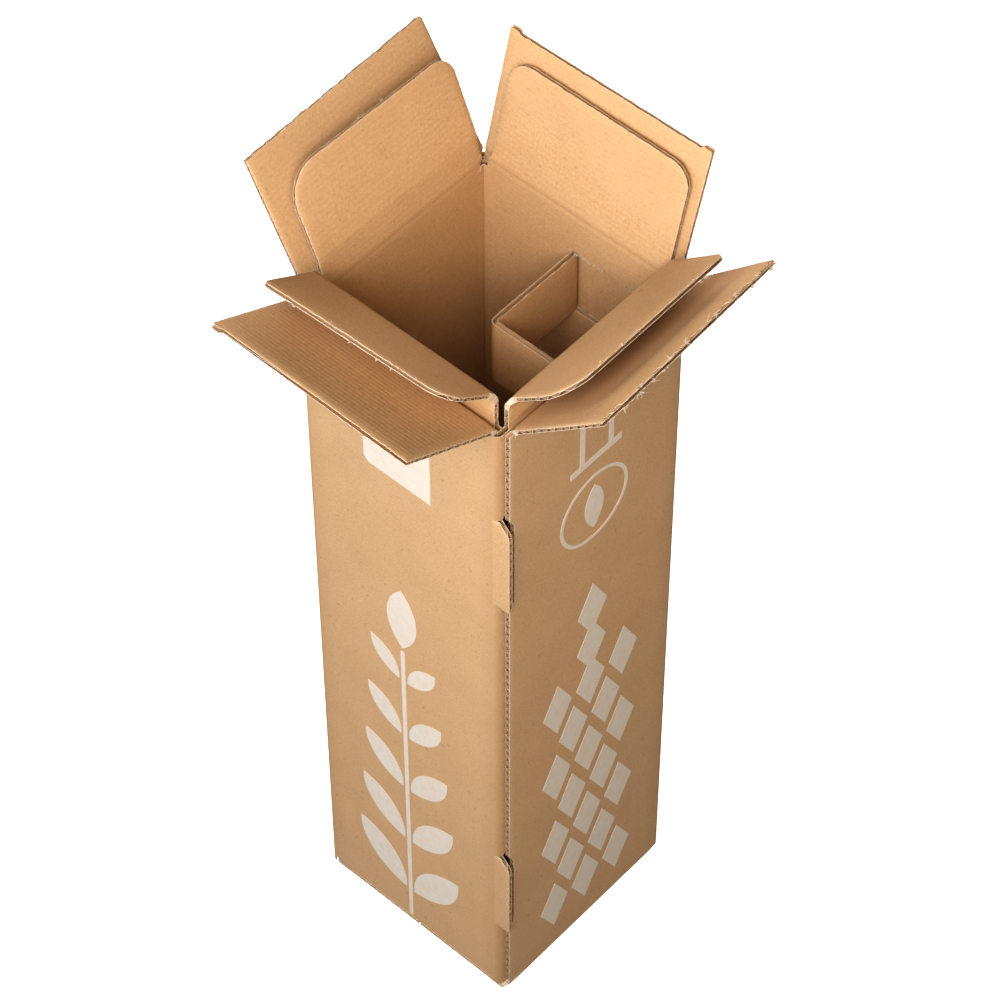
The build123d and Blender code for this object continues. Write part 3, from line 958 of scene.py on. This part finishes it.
def bottom_facts(panel):
    """The outer face, the height and the spans of a panel's bottom flap, at its root and past its fold."""
    turn, wall = panel
    side = wall in SIDES
    face = OUTER_HALF if turn == "outer" else INNER_BACK
    tip = face - (BOTTOM_SIDE_INSET if side else BOTTOM_END_INSET)
    straight = face - BOARD / 2 - FOLD_RADIUS - BOTTOM_CLEAR
    root = [-min(tip, straight), min(tip, straight)]
    if panel == ("outer", "front"):
        root[1] = TAB_ROOT - BOTTOM_CLEAR
    if panel == ("outer", "right"):
        root[0] = END_EDGE
    if panel == ("inner", "front"):
        root[1] = START_EDGE - 2 * BOTTOM_CLEAR
    step = 2 * (turn == "inner") + (not side)
    return face, step * LEVEL, root, (-tip, tip)


def tab_edge(h, foot, reach, gap):
    """How far a lock tab's outline stands out at a height: a square foot and a round, slanting shoulder."""
    low, high = foot - gap, foot + TAB_HEIGHT + gap
    slant = math.atan2(reach, TAB_SHOULDER)
    tangent = TAB_ROUND * math.tan(slant / 2)
    start = high - TAB_SHOULDER - tangent
    stop = high - TAB_SHOULDER + tangent * math.cos(slant)
    turn = reach - TAB_ROUND + np.sqrt(np.clip(TAB_ROUND**2 - (h - start) ** 2, 0, None))
    out = np.where(h < start, reach, np.where(h < stop, turn, reach * (high - h) / TAB_SHOULDER))
    below = np.clip(TAB_TOE - (h - low), 0, None)
    toe = TAB_TOE - np.sqrt(np.clip(TAB_TOE**2 - below**2, 0, None))
    return np.where((h < low) | (h > high), 0.0, out - toe)


def tab_heights(gap):
    """Grid lines that an outline with tabs needs."""
    lines = []
    for foot in TAB_FEET:
        low, high = foot - gap, foot + TAB_HEIGHT + gap
        lines += [low - 0.02, low, low + 0.2, low + 0.6, low + TAB_TOE]
        lines += list(np.linspace(high - TAB_SHOULDER - 4, high, 12)) + [high + 0.02]
    return lines


def notched(s, h):
    """The end edge of the sheet steps back round each lock tab."""
    back = 0.0
    for foot in TAB_FEET:
        back = back + np.clip(tab_edge(h, foot, NOTCH_REACH, TAB_GAP) - NOTCH_START, 0, None)
    return s - back * np.clip((s - (SHEET_LENGTH - NOTCH_RUN)) / NOTCH_RUN, 0, 1)


def root_span(kind, wall):
    """Where a top crease begins and ends on the wall under it."""
    if kind == "inner":
        return RISER_SPAN[wall]
    low, high = OUTER_SPAN[wall]
    return low + ROOT_INSET, high - ROOT_INSET


def fold_foot(joint):
    """The height at which the crushed board of a top crease begins."""
    return hinge_at(joint)[1] - crease_run(joint)


def sheet_mask(s, h):
    """Which cells of the sheet's grid are board: everything but what is above, below or cut out."""
    top = np.full(s.shape, STRIP_HEIGHT)
    panel_start = sheet_at(("outer", "front"), TAB_ROOT)
    low = np.where(s < panel_start - FOLD_RADIUS * 4, INNER_LOW, OUTER_LOW)
    for panel in PANELS:
        a, b = sheet_span(panel, root_span(*panel))
        inside = (s > a) & (s < b)
        top = np.where(inside, fold_foot("{}_crease_{}".format(*panel)), top)
        _, height, root, _ = bottom_facts(panel)
        a, b = sheet_span(panel, root)
        low = np.where((s > a) & (s < b), height + BOTTOM_RUN, low)
    keep = (h < top) & (h > low)
    half = BAND_SLIT / 2
    slit = (np.abs(h - BAND_BOTTOM - half) < half) | (np.abs(h - BAND_TOP + half) < half)
    keep &= ~(slit & (s > BAND_SPAN[0]) & (s < BAND_SPAN[1]))
    fold = sheet_at(("inner", "right"), FOLD_RADIUS - OUTER_MID)
    for foot in TAB_FEET:
        head = foot + TAB_HEIGHT
        keep &= ~((s > TAB_WINDOW) & (s < fold) & (h > foot - TAB_GAP) & (h < head + TAB_GAP))
        keep &= ~((s > fold) & (s < panel_start) & (h > foot) & (h < head))
    return keep


def sheet_lines():
    """The sheet's grid lines: along it every fold and slit, and up it every crease and cut."""
    s_stops = [*BAND_SPAN, TAB_WINDOW]
    bend = np.linspace(0, FOLD_RADIUS * math.pi / 2, 6)
    for start in ROWS[1::2, 0]:
        s_stops += list(start + bend)
    for start in BAND_ROWS[1::2, 0]:
        s_stops += list(BAND_SPAN[0] + (start + bend) / BAND_LENGTH * (BAND_SPAN[1] - BAND_SPAN[0]))
    for panel in PANELS:
        for span in (root_span(*panel), bottom_facts(panel)[2]):
            s_stops += list(sheet_span(panel, span))
    s_stops += [0.4, 1.0, 2.2, *(SHEET_LENGTH - e for e in (*EDGE_STEPS, NOTCH_RUN))]
    h_stops = [OUTER_LOW, INNER_LOW, STRIP_HEIGHT, *tab_heights(TAB_GAP), *tab_heights(0.0)]
    for e in (1.5, 0.5, 0, -BAND_SLIT, -0.9, -1.8):
        h_stops += [BAND_BOTTOM - e, BAND_TOP + e]
    h_stops += [crease + e for crease in (END_CREASE, SIDE_CREASE) for e in CREASE_STEPS]
    h_stops += [i * LEVEL + BOTTOM_RUN for i in range(4)]
    h_stops += [fold_foot(j["name"]) for j in frame["joints"]]
    s_lines = spread(0.0, SHEET_LENGTH, WALL_STEP, s_stops)
    return joined(s_lines), joined(spread(OUTER_LOW, max(h_stops), WALL_STEP, h_stops))


def joined(lines, least=0.012):
    """Drops a grid line that lies on the one before it."""
    keep = np.concatenate([[True], np.diff(lines) > least])
    return lines[keep]


def add_sheet(board):
    """The standing part of the sheet, with its fluted layer wherever a cut edge shows it."""
    s_lines, h_lines = sheet_lines()
    s, h = np.meshgrid(s_lines, h_lines, indexing="ij")
    middle_s = (s[:-1, :-1] + s[1:, 1:]) / 2
    middle_h = (h[:-1, :-1] + h[1:, 1:]) / 2
    keep = sheet_mask(middle_s, middle_h)
    s = notched(s, h)

    def is_cut(a, b):
        ends = (a < TINY) | (a > SHEET_LENGTH - 4)
        slit = (a >= BAND_SPAN[0]) & (a <= BAND_SPAN[1]) & (b > BAND_BOTTOM - 1) & (b < BAND_TOP + 1)
        riser = b > SIDE_CREASE + 1
        return ends | slit | riser

    edge = cut_points(s, h, keep, is_cut)
    # Painted shade lines along the sheet's round corners
    corner = ROWS[1::2, 0] + FOLD_RADIUS * math.pi / 4
    crease = sum(painted_crease_shade((s - middle) * CREASE_SHADE_WIDTH / CORNER_SHADE_WIDTH) for middle in corner)
    add_liners(board, s, h, keep, place_sheet, edge, WALL_CRUSH, crease)
    end = np.array([SHEET_LENGTH - e for e in (8, 4, 1.5, 0.5, 0)])
    patches = [(end, spread(6.0, STRIP_HEIGHT, FLUTE_STEP))]
    side = np.array([0.05, 0.6, 2, 5])
    for wall in ("front", "right"):
        low, high = sheet_span(("inner", wall), RISER_SPAN[wall])
        rise = spread(STRIP_HEIGHT + 0.1, fold_foot(f"inner_crease_{wall}"), FLUTE_STEP)
        patches += [(low + side, rise), (high - side[::-1], rise)]
    wide = spread(BAND_SPAN[0], BAND_SPAN[1], 2.5)
    for low, high in ((BAND_BOTTOM - 5, BAND_BOTTOM), (BAND_BOTTOM + BAND_SLIT, BAND_BOTTOM + 5),
                      (BAND_TOP - 5, BAND_TOP - BAND_SLIT), (BAND_TOP, BAND_TOP + 5)):
        patches.append((wide, spread(low, high, FLUTE_STEP)))
    for s_part, h_part in patches:
        u, v = np.meshgrid(s_part, h_part, indexing="ij")
        add_medium(board, notched(u, v), v, place_sheet, edge, WALL_CRUSH)


def tab_grid(foot, lines, inset):
    """u and v over a lock tab, from its root to an inset behind its free edge, and its cut points."""
    tip = FOLD_LINE + tab_edge(lines, foot, TAB_REACH, 0.0) - inset
    u = TAB_ROOT + (tip - TAB_ROOT)[None, :] * TAB_SHARES[:, None]
    v = np.tile(lines, (len(TAB_SHARES), 1))
    return u, v, cut_points(u, v, whole(u), lambda a, b: a > TAB_ROOT + 0.1)


def place_tab(u, v, w):
    """Points of a lock tab, which lies in the plane of the front panel."""
    return on_wall("front", OUTER_HALF - w, u, v)


def add_tabs(board):
    """The lock tabs stand out of the front panel past its fold."""
    for foot in TAB_FEET:
        head = foot + TAB_HEIGHT
        near = [h for h in tab_heights(0.0) if foot < h < head]
        u, v, edge = tab_grid(foot, spread(foot, head, 5, near), 0.0)
        add_liners(board, u, v, whole(u), place_tab, edge)
        u, v, edge = tab_grid(foot, spread(foot + 0.1, head - 0.1, FLUTE_STEP), 0.05)
        add_medium(board, u, v, place_tab, edge)


def add_bottom(board):
    """The four pairs of bottom flaps, each with its rounded fold."""
    for panel in PANELS:
        wall = panel[1]
        face, height, root, tip = bottom_facts(panel)

        def fold_of(u):
            return Fold((face, height), 0.0, -90 + 0 * u, 180 + 0 * u, inside=-1)

        def place(u, v, w):
            return on_wall(wall, face - v, u, height + w)

        fold_strip(board, wall, fold_of, root, tip, BOTTOM_RUN)
        reach = face - BOTTOM_SEAM
        v_lines = spread(BOTTOM_RUN, reach, WALL_STEP, (reach - 0.4, reach - 1))
        u, v = np.meshgrid(edged(*tip, WALL_STEP), v_lines, indexing="ij")
        edge = cut_points(u, v, whole(u), lambda a, b: b > BOTTOM_RUN + TINY)
        add_liners(board, u, v, whole(u), place, edge)
        u, v = np.meshgrid(edged(*tip, 20), spread(BOTTOM_RUN, reach - 0.2, 0.5), indexing="ij")
        add_medium(board, u, v, place, edge)


def fray_band(board, rng):
    """Torn fibres where the band was pushed out of the back wall, and along the band's top edge."""
    for low, high in BAND_TEARS:
        across = np.arange(low, high, 0.5)
        s = sheet_at(("inner", "back"), across)
        points = place_sheet(s, BAND_TOP + 0.1 + 0 * s, BOARD + 0 * s)
        fray(board, points, [(0.3, -0.8, -0.2)] * len(s), rng, length=(0.4, 1.3), each=4)
    s = np.arange(BAND_SPAN[0] + 6, BAND_SPAN[1] - 6, 1.1)
    points = place_sheet(s, BAND_TOP - BAND_SLIT - 0.1 + 0 * s, rng.choice((0.2, BOARD - 0.2), len(s)))
    fray(board, points, [(0, 0, 1)] * len(s), rng, length=(0.2, 0.8), each=2)


def sleeve_piece(rng):
    """The wound sheet below its top creases."""
    board = Board()
    add_sheet(board)
    add_tabs(board)
    add_bottom(board)
    fray_band(board, rng)
    piece = board.finish("wound_sheet")
    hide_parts("wound_sleeve")
    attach(piece, "sleeve")


# Camera, light and floor

def direction(azimuth, elevation):
    """The way from the box to a camera or a light. Azimuth 0 is in front of the box."""
    a, e = math.radians(azimuth), math.radians(elevation)
    return Vector((math.sin(a) * math.cos(e), -math.cos(a) * math.cos(e), math.sin(e)))


def add_camera():
    """The camera at the photograph's viewing angle."""
    a, r = math.radians(CAMERA_AZIMUTH), math.radians(CAMERA_ROLL)
    back = direction(CAMERA_AZIMUTH, CAMERA_ELEVATION)
    right = Vector((math.cos(a), math.sin(a), 0))
    up = back.cross(right)
    rolled = right * math.cos(r) + up * math.sin(r)
    upright = up * math.cos(r) - right * math.sin(r)
    data = bpy.data.cameras.new("camera")
    data.sensor_width = SENSOR
    data.lens = FOCAL_PIXELS / PHOTO_WIDTH * SENSOR
    data.clip_end = 50
    camera = new_object("camera", data)
    turned = Matrix((rolled, upright, back)).transposed().to_4x4()
    camera.matrix_world = Matrix.Translation(CAMERA_AT) @ turned
    bpy.context.scene.camera = camera


def add_light(name, azimuth, elevation, distance, size, power, colour):
    """A soft square light that looks at the box's mouth."""
    aim = direction(azimuth, elevation)
    data = bpy.data.lights.new(name, "AREA")
    data.size = size
    data.energy = power
    data.color = colour
    light = new_object(name, data)
    light.location = Vector((0, 0, LIGHT_HEIGHT)) + aim * distance
    light.rotation_euler = aim.to_track_quat("Z", "Y").to_euler()


def add_world():
    """A white room behind everything, which gives the box only a little light."""
    world = bpy.data.worlds.new("studio")
    world.use_nodes = True
    tree = world.node_tree
    path = tree.nodes.new("ShaderNodeLightPath")
    strength = tree.nodes.new("ShaderNodeMapRange")
    strength.inputs["To Min"].default_value = AMBIENT
    strength.inputs["To Max"].default_value = 1.0
    tree.links.new(path.outputs["Is Camera Ray"], strength.inputs["Value"])
    background = tree.nodes["Background"]
    background.inputs["Color"].default_value = (1, 1, 1, 1)
    tree.links.new(strength.outputs["Result"], background.inputs["Strength"])
    bpy.context.scene.world = world


def add_floor():
    """A plain floor, which throws no light back at the box."""
    mesh = bpy.data.meshes.new("floor")
    corners = [(x * FLOOR_HALF, y * FLOOR_HALF, 0) for x, y in ((-1, -1), (1, -1), (1, 1), (-1, 1))]
    mesh.from_pydata(corners, [], [(0, 1, 2, 3)])
    mesh.materials.append(floor_material())
    floor = new_object("floor", mesh)
    floor.visible_diffuse = False


def add_studio():
    """Lights, room and floor, and how the picture's tones are shown."""
    for name, facts in LIGHTS.items():
        add_light(name, *facts)
    add_world()
    add_floor()
    view = bpy.context.scene.view_settings
    view.view_transform = "Standard"
    view.look = "Medium High Contrast"


for node in frame["nodes"].values():
    ink = node.name.endswith("_print")
    node.data.materials.clear()
    node.data.materials.append(white_ink if ink else kraft)

rng = np.random.default_rng(7)
sleeve_piece(rng)
for wall in WALLS:
    for kind in ("outer", "inner"):
        flap = Flap(wall, kind)
        flap_piece(flap, rng, TEAR.get(flap.name, USUAL_TEAR), TUFTS.get(flap.name, USUAL_TUFTS))
        crease_piece(flap)

add_camera()
add_studio()
